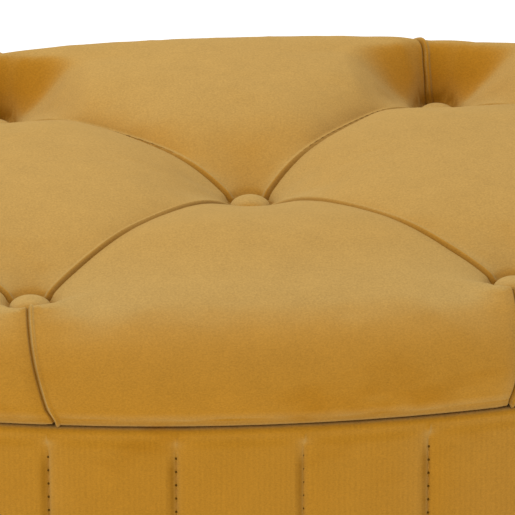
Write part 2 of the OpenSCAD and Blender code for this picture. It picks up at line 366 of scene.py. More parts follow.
# The middle button was pulled in a touch off centre by hand.
buttons["centre"] += Vector((0.004, -0.001, 0))
FOLDS = [(a, b) for a, others in (
    ("centre", ("front_left", "front_right", "back_left", "back_right")),
    ("end_left", ("front_left", "back_left")),
    ("end_right", ("front_right", "back_right"))) for b in others]
OUTWARD = {"end_left": (-1, 0), "end_right": (1, 0), "front_left": (0, -1), "front_right": (0, -1),
           "back_left": (0, 1), "back_right": (0, 1)}
# Outside a button: from and to how far away the padding fills, how firmly its edge fold holds
# it down, and how much quicker its dimple ends.
OUTSIDE = {"front": (0.020, 0.062, 0.60, 3.0), "back": (0.007, 0.034, 0.06, 2.2),
           "end": (0.014, 0.045, 0.45, 0.5)}
DIMPLE_R, DIMPLE_WIDTH, DIMPLE_POWER = 0.011, 0.029, 1.25
# Inside the buttons: how near the padding starts and how much nearer behind a button, how far
# away it is full, and how much further that is straight in front of a button and behind it.
NEAR, NEAR_SKEW, FAR_FRONT, FAR_BEHIND = 0.0225, 0.0175, 0.040, 0.020
FAR = {"centre": 0.080, "front": 0.080, "back": 0.062, "end": 0.080}
# How high the pillows stand at the front and in the middle, this far from the centre line.
PILLOW_Y, PILLOW_FRONT, PILLOW_MIDDLE = 0.13, 0.006, 0.014
# How far from a fold the pillows fill, on its front and its back, and past its ends.
FOLD_FRONT, FOLD_BACK, FOLD_END, EDGE_FOLD = 0.027, 0.015, 0.008, 0.019
# The padding pushed up in front of each front button, and how far the front edge is sat down.
LIP_RISE, LIP_WIDTH, DROOP = 0.0050, 0.028, 0.0170
# Where along the outline an edge fold starts, from its button, and where it comes to the seam.
EDGE_LEAN = {"front_left": (-0.0095, 0.0115), "front_right": (0.007, -0.008), "back_left": (0.003, -0.010),
             "back_right": (-0.003, 0.013), "end_left": (0, 0.004), "end_right": (0, -0.005)}


def edge_run(button):
    """Where on the outline the fold of an outer button starts down the side."""
    if abs(button.y) < 0.01:
        return ROUND * (0.25 if button.x > 0 else 0.75)
    run = SIDE_R * math.asin(button.x / SIDE_R)
    return run if button.y < 0 else ROUND / 2 - run


def edge_line(name, ring):
    """Where round the outline an edge fold is, ring by ring."""
    start, end = EDGE_LEAN[name]
    if name.startswith("back"):
        share = eased(ring / 11)
    else:
        share = 0.78 * (1 - np.cos(np.clip(ring / ROLL_RINGS, 0, 1) * math.pi / 2))
        share = share + 0.22 * np.clip((ring - ROLL_RINGS) / SIDE_RINGS, 0, 1)
    return edge_run(buttons[name]) + start + (end - start) * share


def tufted(x, y):
    """Height of the tufted top over each point, before its edge rolls over."""
    rise, room = np.ones_like(x), np.ones_like(x)
    for name, b in buttons.items():
        row = name.split("_")[0]
        dx, dy = x - b.x, y - b.y
        r = np.maximum(np.hypot(dx, dy), 1e-6)
        near = NEAR - NEAR_SKEW * dy / r
        quick = 1 + 0.4 * eased(1 + dy / r) * (row == "back")
        far = FAR[row] + np.where(dy < 0, FAR_FRONT, FAR_BEHIND) * (dy / r) ** 2
        if name in OUTWARD:
            ox, oy = OUTWARD[name]
            away = eased(((dx * ox + dy * oy) / r - 0.05) / 0.75)
            near_out, far_out, _, quick_out = OUTSIDE[row]
            near, far = near + (near_out - near) * away, far + (far_out - far) * away
            quick = quick + away * quick_out
        rise *= 1 - np.exp(-(np.maximum(r - DIMPLE_R, 0) * quick / DIMPLE_WIDTH) ** DIMPLE_POWER)
        room *= eased((r - near) / (far - near))
    full, lip = np.ones_like(x), np.zeros_like(x)
    for a, b in FOLDS:
        p, d = buttons[a], buttons[b] - buttons[a]
        t = ((x - p.x) * d.x + (y - p.y) * d.y) / d.xy.length_squared
        past = np.maximum(np.maximum(-t, t - 1), 0) * d.xy.length
        t = np.clip(t, 0, 1)
        wide = np.where(y < p.y + t * d.y, FOLD_FRONT, FOLD_BACK)
        full *= 1 - np.exp(-np.hypot(x - p.x - t * d.x, y - p.y - t * d.y) / wide - past / FOLD_END)
    for name, (ox, oy) in OUTWARD.items():
        b, row = buttons[name], name.split("_")[0]
        ahead = (x - b.x) * ox + (y - b.y) * oy
        aside = np.abs((x - b.x) * oy) + np.abs((y - b.y) * ox)
        full *= 1 - OUTSIDE[row][2] * np.exp(-np.hypot(aside, np.minimum(ahead, 0)) / EDGE_FOLD)
        if row == "front":
            between = eased((ahead - 0.010) / 0.009) * eased((0.048 - ahead) / 0.022)
            lip = lip + LIP_RISE * np.exp(-(aside / LIP_WIDTH) ** 2) * between
    # The padding is fullest at the back, and it is sat down towards the front edge.
    heights = [PILLOW_FRONT, PILLOW_MIDDLE, CREST - SEAT - CREASE_RISE + 0.003]
    pillow = np.interp(y, [-PILLOW_Y, 0, PILLOW_Y], heights)
    droop = DROOP * eased((-y - 0.09) / 0.10) * rise
    return SEAT + CREASE_RISE * rise + pillow * room * full - droop * rise + lip


# The roll-over at the front, and how much each value changes towards the back.
ROLL_WIDTH, ROLL_END, ROLL_SQUARE = (0.053, -0.022), (0.012, 0.028), (2.02, 0.63)
# The edge folds draw the side in by this much, and over this width.
DRAWN_IN, DRAWN_WIDTH = 0.0022, 0.011


def edge_shape(run):
    """Width of the roll-over, height where it ends and how square it is: rounder at the front."""
    back = eased((0.3 - np.cos(np.asarray(run) * math.tau / ROUND)) / 1.2)
    return (ROLL_WIDTH[0] + ROLL_WIDTH[1] * back, SEAM + ROLL_END[0] + ROLL_END[1] * back,
            ROLL_SQUARE[0] + ROLL_SQUARE[1] * back)


def square_run(u, v):
    """Run round the outline for points of the edge of the grid's square."""
    q = np.where(np.abs(u) >= np.abs(v), np.where(u > 0, v, 4 - v), np.where(v > 0, 2 - u, 6 + u))
    end, side = (ROUND * n / (2 * (GRID_X + GRID_Y)) for n in (GRID_Y, GRID_X))
    marks = np.cumsum([-end / 2, end, side, end, side])
    return ROUND / 4 + np.interp(q, [-1, 1, 3, 5, 7], marks)


def lid_points(u, v, ring):
    """Places on the lid cover's surface: inside the roll-over by u and v, and beyond it by ring."""
    reach = np.maximum(np.maximum(np.abs(u), np.abs(v)), 1e-9)
    run = square_run(u / reach, v / reach)
    return lid_places(run, reach, ring)


def lid_places(run, reach, ring):
    """The same by run round the outline instead of by u and v."""
    ring = np.asarray(ring, float)
    roll, side_top, square = edge_shape(run)
    x, y = on_oval(run, roll)
    x, y = x * reach, y * reach
    angle = np.clip(ring / ROLL_RINGS, 0, 1) * math.pi / 2
    up = np.cos(angle) ** (2 / square)
    inset = roll * (1 - np.sin(angle) ** (2 / square))
    down = np.clip((ring - ROLL_RINGS) / SIDE_RINGS, 0, 1)
    side_low = LID_Z + LOWER_EDGE
    bulge = np.clip((ring - ROLL_RINGS + 12) / (SIDE_RINGS + 12), 0, 1)
    inset = inset - SIDE_BULGE * np.sin(bulge * math.pi)
    turn = np.clip((ring - ROLL_RINGS - SIDE_RINGS) / EDGE_RINGS, 0, 1) * math.pi / 2
    under = np.clip((ring - ROLL_RINGS - SIDE_RINGS - EDGE_RINGS) / UNDER_RINGS, 0, 1)
    inset = inset + LOWER_EDGE * (1 - np.cos(turn)) + under * (BAND - LOWER_EDGE)
    z_side = side_top + (side_low - side_top) * down
    for name in OUTWARD:
        away = np.abs(np.mod(run - edge_line(name, ring) + ROUND / 2, ROUND) - ROUND / 2)
        drawn = DRAWN_IN * np.exp(-away / DRAWN_WIDTH) * eased(ring / 12)
        inset = inset + drawn * (1 - under) * (1 - 0.75 * down)
    ox, oy = on_oval(run, inset)
    beyond = ring > 0
    x, y = np.where(beyond, ox, x), np.where(beyond, oy, y)
    top = tufted(x, y)
    z = np.where(ring <= ROLL_RINGS, side_top + (top - side_top) * up, z_side)
    z = z - LOWER_EDGE * np.sin(turn)
    # The pile at the lower edge nearly closes the gap.
    lowest = np.clip((ring - ROLL_RINGS - SIDE_RINGS + 4) / 4, 0, 1)
    z = z - PILE_DROP * np.exp(-((inset - 0.002) / 0.003) ** 2) * lowest
    z = np.where(under > 0.99, LID_Z + TUCKED_UNDER, z)
    return np.stack([x, y, z], -1)


def ringed_grid(cells_x, cells_y, rings):
    """A grid with rings of faces round it and closed below; each vertex remembers its u, v and ring."""
    bm = bmesh.new()
    bmesh.ops.create_grid(bm, x_segments=cells_x, y_segments=cells_y, size=1)
    layers = [bm.verts.layers.float.new(n) for n in ("u", "v", "ring")]
    for vert in bm.verts:
        vert[layers[0]], vert[layers[1]] = vert.co.x, vert.co.y
    edges = [e for e in bm.edges if e.is_boundary]
    for k in range(1, rings + 1):
        new = bmesh.ops.extrude_edge_only(bm, edges=edges)["geom"]
        edges = [g for g in new if isinstance(g, bmesh.types.BMEdge) and g.is_boundary]
        for g in new:
            if isinstance(g, bmesh.types.BMVert):
                g[layers[2]] = k
    bmesh.ops.edgeloop_fill(bm, edges=edges)
    return bm


def remembered(bm):
    """The u, v and ring of every vertex of a ringed grid."""
    layers = [bm.verts.layers.float[n] for n in ("u", "v", "ring")]
    return (np.array([vert[layer] for vert in bm.verts]) for layer in layers)


bm = ringed_grid(GRID_X, GRID_Y, ROLL_RINGS + SIDE_RINGS + EDGE_RINGS + UNDER_RINGS)


# The folds start just under the rims of the buttons.
FOLD_START = 0.0095


def evened(line, step=0.0005):
    """The line with evenly spaced points and its kinks smoothed over a few millimetres."""
    run = np.concatenate([[0], np.cumsum(np.linalg.norm(np.diff(line, axis=0), axis=1))])
    at = np.linspace(0, run[-1], int(run[-1] / step))
    line = np.stack([np.interp(at, run, line[:, k]) for k in range(3)], -1)
    padded = np.concatenate([2 * line[0] - line[8:0:-1], line, 2 * line[-1] - line[-2:-10:-1]])
    window = np.hanning(19)[1:-1]
    return np.stack([np.convolve(padded[:, k], window / window.sum(), "valid") for k in range(3)], -1)


def fold_path(name_a, name_b=None):
    """The line of a fold on the surface: button to button, or from an outer button down its edge."""
    a = buttons[name_a]
    if name_b:
        b = buttons[name_b]
        length = (b - a).xy.length
        t = np.linspace(FOLD_START, length - FOLD_START, 150) / length
        x, y = a.x + (b.x - a.x) * t, a.y + (b.y - a.y) * t
        return np.stack([x, y, tufted(x, y)], -1)
    last = ROLL_RINGS + SIDE_RINGS + EDGE_RINGS
    rings = np.linspace(0, last, 260)
    line = lid_places(edge_line(name_a, rings), 1.0, rings)
    gone = (line[:, :2] - np.array(a.xy)) @ np.array(OUTWARD[name_a])
    line = line[(gone > FOLD_START) & (np.arange(len(rings)) > 0)]
    gap = Vector(line[0][:2]) - a.xy
    t = np.arange(FOLD_START, max(gap.length - 0.002, 0), 0.0015) / gap.length
    x, y = a.x + gap.x * t, a.y + gap.y * t
    return evened(np.concatenate([np.stack([x, y, tufted(x, y)], -1), line]))


# Each fold's line, which way its crease faces, and whether it runs off down the edge.
paths = [(fold_path(a, b), (0, -1, 0), False) for a, b in FOLDS]
paths += [(fold_path(name), (-1, 0, 0) if out[0] == 0 else (0, -1, 0), True)
          for name, out in OUTWARD.items()]

tree = KDTree(sum(len(p) for p, _, _ in paths))
owner = []
for i, (path, _, _) in enumerate(paths):
    for j, p in enumerate(path):
        tree.insert(p, len(owner))
        owner.append((i, j))
tree.balance()


# Finer faces along the folds, so that the pleats can be sharp.
for reach in (0.0075, 0.0055):
    for vert, p in zip(bm.verts, lid_points(*remembered(bm))):
        vert.co = p
    bm.verts.index_update()
    close = [tree.find(vert.co)[2] < reach for vert in bm.verts]
    fine = [e for e in bm.edges if close[e.verts[0].index] and close[e.verts[1].index]]
    bmesh.ops.subdivide_edges(bm, edges=fine, cuts=1, use_grid_fill=True)
for vert, p in zip(bm.verts, lid_points(*remembered(bm))):
    vert.co = p
bmesh.ops.recalc_face_normals(bm, faces=bm.faces)
cover = new_piece("lid_cover_velvet", bm)
co = vectors(cover.data, "co")
nearest = [tree.find(p) for p in co]
away = np.array([n[2] for n in nearest])


def baked(obj):
    """The object's mesh with its modifiers applied."""
    graph = bpy.context.evaluated_depsgraph_get()
    mesh = bpy.data.meshes.new_from_object(obj.evaluated_get(graph))
    old = obj.data
    obj.modifiers.clear()
    obj.data = mesh
    bpy.data.meshes.remove(old)
    return obj


# The stuffing swells the cloth between its stitches: the cloth is held at the buttons, the
# folds and the lower edge, and no point may move further than SWELL.
SWELL, CLOTH_STEP, CLOTH_FRAMES = 0.004, 0.006, 20


def swollen(cover):
    """How far each point of the cover moves when its stuffing presses on it as cloth."""
    soft = cover.copy()
    soft.data = cover.data.copy()
    bpy.context.collection.objects.link(soft)
    remesh = soft.modifiers.new("even", "REMESH")
    remesh.mode, remesh.voxel_size = "VOXEL", CLOTH_STEP
    baked(soft)
    start = vectors(soft.data, "co")
    held = soft.vertex_groups.new(name="held")
    for i, p in enumerate(start):
        gap = tree.find(p)[2]
        button = min(math.hypot(p[0] - b.x, p[1] - b.y) for b in buttons.values())
        if gap < 0.006 or button < 0.018 or p[2] < SEAM + 0.012:
            held.add([i], 1.0, "REPLACE")
    cloth = soft.modifiers.new("cloth", "CLOTH")
    cloth.settings.vertex_group_mass = "held"
    cloth.settings.quality = 6
    cloth.settings.mass = 0.3
    cloth.settings.use_pressure = True
    cloth.settings.uniform_pressure_force = 4.0
    cloth.settings.effector_weights.gravity = 0
    for f in range(1, CLOTH_FRAMES + 1):
        bpy.context.scene.frame_set(f)
    baked(soft)
    move = vectors(soft.data, "co") - start
    far = np.linalg.norm(move, axis=1)
    move *= (SWELL * np.tanh(far / SWELL) / np.maximum(far, 1e-9))[:, None]
    near = KDTree(len(start))
    for i, p in enumerate(start):
        near.insert(p, i)
    near.balance()
    out = np.zeros((len(cover.data.vertices), 3))
    for i, p in enumerate(vectors(cover.data, "co")):
        found = near.find_n(p, 6)
        weights = np.array([1 / (d + 1e-4) ** 2 for _, _, d in found])
        out[i] = weights @ move[[j for _, j, _ in found]] / weights.sum()
    bpy.context.scene.frame_set(1)
    mesh = soft.data
    bpy.data.objects.remove(soft)
    bpy.data.meshes.remove(mesh)
    return out


moved = swollen(cover)
co += moved * eased(away / 0.012)[:, None]
place_points(cover.data, co)

# Pleats: a narrow rounded lap of cloth along each fold, with a deep crease on one side of it,
# and a small moat round each button. Shade is painted into the colour where the cloth is creased.
normal = vectors(cover.data, "normal")
PLEAT_HALF, PLEAT_RISE = 0.0018, 0.0015
CREASE_DEPTH, CREASE_AT, CREASE_WIDTH = 0.0017, 0.0021, 0.0007
MOAT_DEPTH, MOAT_R, MOAT_WIDTH, UNDER_BUTTON = 0.0016, 0.0145, 0.0028, 0.0012
which = np.array(owner)[[n[1] for n in nearest]]
anchor, along, towards = (np.empty_like(co) for _ in range(3))
fade = np.ones(len(co))
for i, (path, side, to_edge) in enumerate(paths):
    run = np.gradient(path, axis=0)
    run /= np.linalg.norm(run, axis=1)[:, None]
    mine = which[:, 0] == i
    j = which[mine, 1]
    anchor[mine], along[mine], towards[mine] = path[j], run[j], side
    travelled = np.concatenate([[0], np.cumsum(np.linalg.norm(np.diff(path, axis=0), axis=1))])
    from_start = travelled[j]
    from_end = np.where(to_edge, 1.0, travelled[-1] - travelled[j])
    fade[mine] = eased((np.minimum(from_start, from_end) + 0.004) / 0.008)
across = np.cross(normal, along)
across *= np.sign(np.sum(across * towards, axis=1))[:, None]
across /= np.maximum(np.linalg.norm(across, axis=1), 1e-9)[:, None]
d = np.sum((co - anchor) * across, axis=1)
near_fold = away < 0.010
lap = PLEAT_RISE * np.clip(1 - (d / PLEAT_HALF) ** 2, 0, 1) ** 1.5
crease = CREASE_DEPTH * np.exp(-((d - CREASE_AT) / CREASE_WIDTH) ** 2)
hollow = 0.0004 * np.exp(-((d - 0.004) / 0.003) ** 2)
shift = np.where(near_fold, (lap - crease - hollow) * fade, 0)
# Painted shade in the crease beside each pleat.
painted_shade = 0.85 * np.exp(-((d - 0.0022) / 0.0008) ** 2) + 0.22 * np.exp(-np.abs(d - 0.003) / 0.003) * (d > 0)
painted_shade *= near_fold * fade
on_top = co[:, 2] > SEAM + 0.03
for b in buttons.values():
    r = np.hypot(co[:, 0] - b.x, co[:, 1] - b.y)
    shift -= np.where(on_top, MOAT_DEPTH * np.exp(-((r - MOAT_R) / MOAT_WIDTH) ** 2), 0)
    shift -= np.where(on_top & (r < BUTTON_R), UNDER_BUTTON, 0)
    # Painted shade round each button's rim and in the pit behind it.
    behind = 0.5 + 0.5 * (co[:, 1] - b.y) / np.maximum(r, 1e-6)
    at_rim = 0.7 * np.exp(-((r - 0.0135) / 0.0016) ** 2)
    at_back = 0.46 * behind ** 2 * np.exp(-np.maximum(r - 0.012, 0) / 0.014)
    painted_shade = np.maximum(painted_shade, (at_rim + at_back) * on_top)
# Cloth is never quite even: long shallow waves, a fraction of a millimetre deep.
uneven = np.array([noise.fractal(Vector(p) * 22, 0.8, 2.0, 3) for p in co]) * 0.00045
shift += uneven * (co[:, 2] > SEAM + 0.006) * eased(away / 0.006)
# Painted shade along the lid's lower edge, where it turns under by the seam.
painted_shade = np.maximum(painted_shade, 0.55 * eased((SEAM + 0.011 - co[:, 2]) / 0.011))
co += normal * shift[:, None]
place_points(cover.data, co)
cover.data.attributes.new("painted_shade", "FLOAT", "POINT").data.foreach_set("value", painted_shade)
cover.data.shade_smooth()
finish_piece(cover, "lid", VELVET, "velvet", "lid_cover", "lid_wadding", "lid_foam")


# ---- Buttons --------------------------------------------------------------------------
# Seven metal shells covered in the same velvet, each a low dome with a rounded rim, pulled
# down into the padding by twine.
def spun(name, profile, place, segments):
    """A turned and smoothed piece from (radius, height) steps, standing at a place."""
    bm = bmesh.new()
    verts = [bmesh.ops.create_vert(bm, co=(r, 0, z))["vert"][0] for r, z in profile]
    edges = [bm.edges.new(pair) for pair in zip(verts, verts[1:])]
    bmesh.ops.spin(bm, geom=verts + edges, cent=(0, 0, 0), axis=(0, 0, 1), angle=math.tau,
                   steps=segments, use_merge=True)
    bmesh.ops.remove_doubles(bm, verts=bm.verts, dist=1e-6)
    bmesh.ops.recalc_face_normals(bm, faces=bm.faces)
    bmesh.ops.translate(bm, vec=place, verts=bm.verts)
    obj = new_piece(name, bm)
    modifier = obj.modifiers.new("round", "SUBSURF")
    modifier.levels = modifier.render_levels = 1
    baked(obj)
    obj.data.shade_smooth()
    return obj


BUTTON_SHAPE = [(0, 0.0062), (0.0030, 0.0060), (0.0060, 0.0053), (0.0088, 0.0041), (0.0110, 0.0025),
                (0.0123, 0.0008), (0.0125, -0.0004), (0.0118, -0.0013), (0.0095, -0.0016), (0, -0.0016)]
for name, b in buttons.items():
    button = spun("velvet_button_" + name, BUTTON_SHAPE, (b.x, b.y, SEAT), segments=40)
    finish_piece(button, "lid", VELVET, "velvet", "button_" + name)


# ---- Box cover ------------------------------------------------------------------------
# Velvet over thin foam round the wall, stitched into upright channels and lapped over the
# rim at the top and under the box at the bottom.
CHANNELS = 27
PITCH = ROUND / CHANNELS
FIRST_LINE = 0.0107
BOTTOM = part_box("base_cover")[0].z
STORE_IN = HALF_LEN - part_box("floor_lining")[1].x
LINING_IN = HALF_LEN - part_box("inner_lining")[1].x
RIM_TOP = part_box("top_rim")[1].z
FLOOR_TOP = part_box("base_board")[1].z
TURN_IN = HALF_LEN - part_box("dust_cover")[1].x


def oval_band(name, runs, steps):
    """A band of faces round the oval, with points at each of the runs, from steps of (inset, height)."""
    bm = bmesh.new()
    layers = [bm.verts.layers.float.new(n) for n in ("run", "step")]
    bmesh.ops.create_circle(bm, segments=len(runs), radius=1)
    for v, run in zip(bm.verts, runs):
        v[layers[0]] = run
    edges = list(bm.edges)
    for k in range(1, len(steps)):
        new = bmesh.ops.extrude_edge_only(bm, edges=edges)["geom"]
        verts = [g for g in new if isinstance(g, bmesh.types.BMVert)]
        for v in verts:
            v[layers[1]] = k
        own = set(verts)
        edges = [g for g in new if isinstance(g, bmesh.types.BMEdge) and own.issuperset(g.verts)]
    run = np.array([v[layers[0]] for v in bm.verts])
    step = np.rint([v[layers[1]] for v in bm.verts]).astype(int)
    inset, z = (np.array(a)[step] for a in zip(*steps))
    x, y = on_oval(run, inset)
    for v, p in zip(bm.verts, zip(x, y, z)):
        v.co = p
    bmesh.ops.recalc_face_normals(bm, faces=bm.faces)
    return new_piece(name, bm)


def set_in(obj, more):
    """Moves each point of a band in by more(run, z, inset) metres."""
    co, run = vectors(obj.data, "co"), values(obj.data, "run")
    inset = inset_of(co[:, 0], co[:, 1])
    x, y = on_oval(run, inset + more(run, co[:, 2], inset))
    place_points(obj.data, np.stack([x, y, co[:, 2]], -1))


OFFSETS = (0, 0.0005, 0.0011, 0.002, 0.0035, 0.006, 0.010, 0.016, 0.024, 0.0325)
runs = sorted((FIRST_LINE + PITCH * i + side * off) % ROUND
              for i in range(CHANNELS) for off in OFFSETS for side in ((1,) if off == 0 else (1, -1)))
TOP_R = 0.0035
steps = [(STORE_IN, RIM_TOP + 0.0002), (STORE_IN, SEAM - 0.0009), (STORE_IN - 0.0009, SEAM),
         (0.022, SEAM), (0.008, SEAM)]
steps += [(TOP_R * (1 - math.sin(a)), SEAM - TOP_R * (1 - math.cos(a)))
          for a in np.linspace(0.05, math.pi / 2, 7)]
steps += [(0, SEAM - d) for d in (0.0045, 0.0055, 0.0065, 0.0075, 0.0088, 0.010, 0.0115, 0.013,
                                  0.0145, 0.016, 0.0185, 0.022)]
steps += [(0, z) for z in np.linspace(SEAM - 0.028, BOTTOM + 0.006, 24)]
steps += [(0.0004, BOTTOM + 0.003), (0.0016, BOTTOM + 0.0010), (0.0042, BOTTOM), (0.012, BOTTOM),
          (TURN_IN - 0.0006, BOTTOM), (TURN_IN, BOTTOM + 0.0007), (TURN_IN, BOTTOM + 0.0024)]
box_cover = oval_band("box_cover_velvet", runs, steps)


def channels(run, z, inset):
    """How far in the box cover lies: grooves at the stitch lines, with a pinched start and swells between."""
    d = np.mod(run - FIRST_LINE + PITCH / 2, PITCH) - PITCH / 2
    away = np.abs(d)
    outside = (inset < 0.006) & (z > BOTTOM + 0.0005)
    below = eased((SEAM - 0.0065 - z) / 0.006)
    groove = 0.0008 * np.exp(-away / 0.0016) + 0.0011 * np.exp(-away / 0.006)
    pinched = eased((SEAM - 0.003 - z) / 0.002) * eased((z - SEAM + 0.016) / 0.005)
    ridge = 0.0006 * np.exp(-(d / 0.0008) ** 2) * pinched
    swell = 0.0009 * (1 - np.exp(-away / 0.011)) * below
    return np.where(outside, groove * below - ridge - swell, 0)


set_in(box_cover, channels)
co = vectors(box_cover.data, "co")
wave = np.array([noise.fractal(Vector((p[0] * 26, p[1] * 26, p[2] * 9)), 0.8, 2.0, 3) for p in co]) * 0.0004
outer = inset_of(co[:, 0], co[:, 1]) < 0.004
co += vectors(box_cover.data, "normal") * (wave * outer)[:, None]
place_points(box_cover.data, co)


def unrolled(obj):
    """A UV map in metres: run round the oval, and height."""
    mesh = obj.data
    corners = np.empty(len(mesh.loops), int)
    mesh.loops.foreach_get("vertex_index", corners)
    run, z = values(mesh, "run")[corners], vectors(mesh, "co")[corners, 2]
    for face in mesh.polygons:
        part = slice(face.loop_start, face.loop_start + face.loop_total)
        if run[part].max() - run[part].min() > ROUND / 2:
            run[part] += (run[part] < ROUND / 2) * ROUND
    layer = mesh.uv_layers.new(name="cloth")
    layer.data.foreach_set("uv", np.stack([run, z], -1).ravel())


unrolled(box_cover)
finish_piece(box_cover, "base", velvet("channelled_velvet", ribs=True), "velvet", "base_cover", "side_foam")

# ---- Channel stitching ----------------------------------------------------------------
# Matching thread down the bottom of each channel: long stitches that sink between two
# needle holes, whose shade is painted as small dark dots.
STITCH, FIRST_HOLE, LAST_HOLE, THREAD_IN = 0.0085, 0.019, 0.008, 0.0019
THREAD_SIZE, HOLE_SIZE = (0.0004, 0.0004, 0.0031), (0.0008, 0.0008, 0.0009)
thread = Finish("ochre_thread", Roughness=0.7, Specular_IOR_Level=0.3)
strand = thread.noise(thread.stretched(thread.place(), 900, 900, 2600), 1.0, 2)
thread.set("Base Color", thread.mix(strand, (0.33, 0.145, 0.010), (0.44, 0.20, 0.02)))
# Painted shade: the dark inside each needle hole, put on a small ball.
hole_shade = Finish("needle_hole_shade", Roughness=1.0, Specular_IOR_Level=0.0)
hole_shade.set("Base Color", hole_shade.mix(hole_shade.noise(hole_shade.place(), 400), (0.085, 0.036, 0.003), (0.13, 0.055, 0.004)))
bm = bmesh.new()
for i in range(CHANNELS):
    run = FIRST_LINE + PITCH * i
    x, y = (float(c) for c in on_oval(run, THREAD_IN))
    for k in range(int((SEAM - 0.018 - BOTTOM - LAST_HOLE) / STITCH)):
        z = SEAM - FIRST_HOLE - STITCH * k
        for (sx, sy, sz), drop, material in ((THREAD_SIZE, STITCH / 2, 0), (HOLE_SIZE, 0, 1)):
            ball = bmesh.ops.create_icosphere(bm, subdivisions=1, radius=1)["verts"]
            for v in ball:
                v.co = (x + v.co.x * sx, y + v.co.y * sy, z - drop + v.co.z * sz)
            for face in {f for v in ball for f in v.link_faces}:
                face.material_index = material
stitches = new_piece("channel_stitches", bm)
for finish in (thread, hole_shade):
    stitches.data.materials.append(finish.material)
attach(stitches, "base")

# ---- Storage lining -------------------------------------------------------------------
# Grey polyester lining: a band stapled round the inside of the wall, a thin padded panel
# on the floor, and a cloth over the underside of the lid board.
lining = Finish("grey_lining", Roughness=0.85, Sheen_Weight=0.15, Sheen_Roughness=0.5,
                Specular_IOR_Level=0.2)
where = lining.place()
weave_a = lining.noise(lining.stretched(where, 1, 1, 14), 260, 1)
weave_b = lining.noise(lining.stretched(where, 14, 14, 1), 260, 1)
tone = lining.mix(lining.noise(where, 14, 3), (0.020, 0.018, 0.019), (0.034, 0.031, 0.032))
weave = weave_a + weave_b
lining.set("Base Color", lining.mix(1.0, tone, lining.grey(weave * 0.5 + 0.5), "MULTIPLY"))
lining.bump(weave, 0.0002, 0.6)
runs = [ROUND * i / 360 for i in range(360)]
steps = [(LINING_IN - 0.0002, FLOOR_TOP + 0.0003), (STORE_IN - 0.0003, FLOOR_TOP + 0.0003)]
steps += [(STORE_IN - 0.0002, z) for z in np.linspace(FLOOR_TOP + 0.004, RIM_TOP - 0.003, 30)]
steps += [(STORE_IN - 0.0004, RIM_TOP - 0.0006), (LINING_IN + 0.0008, RIM_TOP - 0.0003)]
side_lining = oval_band("storage_wall_lining", runs, steps)


def lining_waves(run, z, inset):
    """How far the wall lining stands off between its stapled edges."""
    slack = np.sin(np.clip((z - FLOOR_TOP) / (RIM_TOP - FLOOR_TOP), 0, 1) * math.pi)
    turns = run * math.tau / ROUND
    wave = np.array([noise.noise(Vector((math.cos(a) * 9, math.sin(a) * 9, h * 5))) for a, h in zip(turns, z)])
    return np.where(inset > STORE_IN - 0.0005, np.abs(wave) * 0.0022 * slack, 0)


set_in(side_lining, lining_waves)
ROUND * 0.9
finish_piece(side_lining, "base", lining.material, "lining", "inner_lining")


def oval_panel(name, inset, low, high, crown, rim):
    """A thin oval panel with a rounded rim; crown(x, y) raises its top."""
    rings = [(rim, 0.0)] + [(rim * (1 - math.sin(a)), -rim * (1 - math.cos(a))) for a in (0.5, 1.05, 1.57)]
    rings += [(0.0, low - high), (0.006, low - high)]
    bm = ringed_grid(120, 70, len(rings) - 1)
    u, v, ring = remembered(bm)
    reach = np.maximum(np.maximum(np.abs(u), np.abs(v)), 1e-9)
    ring = np.rint(ring).astype(int)
    more, drop = (np.array(a)[ring] for a in zip(*rings))
    x, y = on_oval(square_run(u / reach, v / reach), inset + more)
    x, y = x * np.where(ring > 0, 1, reach), y * np.where(ring > 0, 1, reach)
    z = high + drop + np.where(ring == 0, crown(x, y), 0)
    for vert, p in zip(bm.verts, zip(x, y, z)):
        vert.co = p
    bmesh.ops.recalc_face_normals(bm, faces=bm.faces)
    return new_piece(name, bm)


def flat(x, y):
    return 0 * x


def floor_crown(x, y):
    edge = np.clip((inset_of(x, y) - STORE_IN) / 0.030, 0, 1)
    wave = np.array([noise.noise(Vector((a * 11, b * 11, 0.3))) for a, b in zip(x, y)])
    return 0.0011 * np.sqrt(edge) + 0.0007 * wave * edge


low, high = (c.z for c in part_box("floor_lining"))
floor_panel = oval_panel("storage_floor_panel", STORE_IN + 0.0004, low + 0.0001, high, floor_crown, 0.0012)
finish_piece(floor_panel, "base", lining.material, "lining", "floor_lining")

low, high = (c.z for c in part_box("lid_lining"))
lid_panel = oval_panel("lid_lining_cloth", BAND + 0.0002, low, high, flat, 0.0003)
finish_piece(lid_panel, "lid", lining.material, "lining", "lid_lining")

# ---- Dust cloth -----------------------------------------------------------------------
# Black non-woven cloth stapled under the box over the turned-in velvet.
dust = Finish("black_nonwoven", Roughness=0.95, Specular_IOR_Level=0.15)
fibre = dust.noise(dust.place(), 700, 3, 0.7)
dust.set("Base Color", dust.mix(fibre, (0.006, 0.006, 0.006), (0.022, 0.021, 0.020)))
dust.bump(fibre, 0.0003, 0.7)
low, high = (c.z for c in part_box("dust_cover"))
dust_cloth = oval_panel("dust_cloth", TURN_IN - 0.002, low, high - 0.0001, flat, 0.0003)
finish_piece(dust_cloth, "base", dust.material, "dust_cloth", "dust_cover")

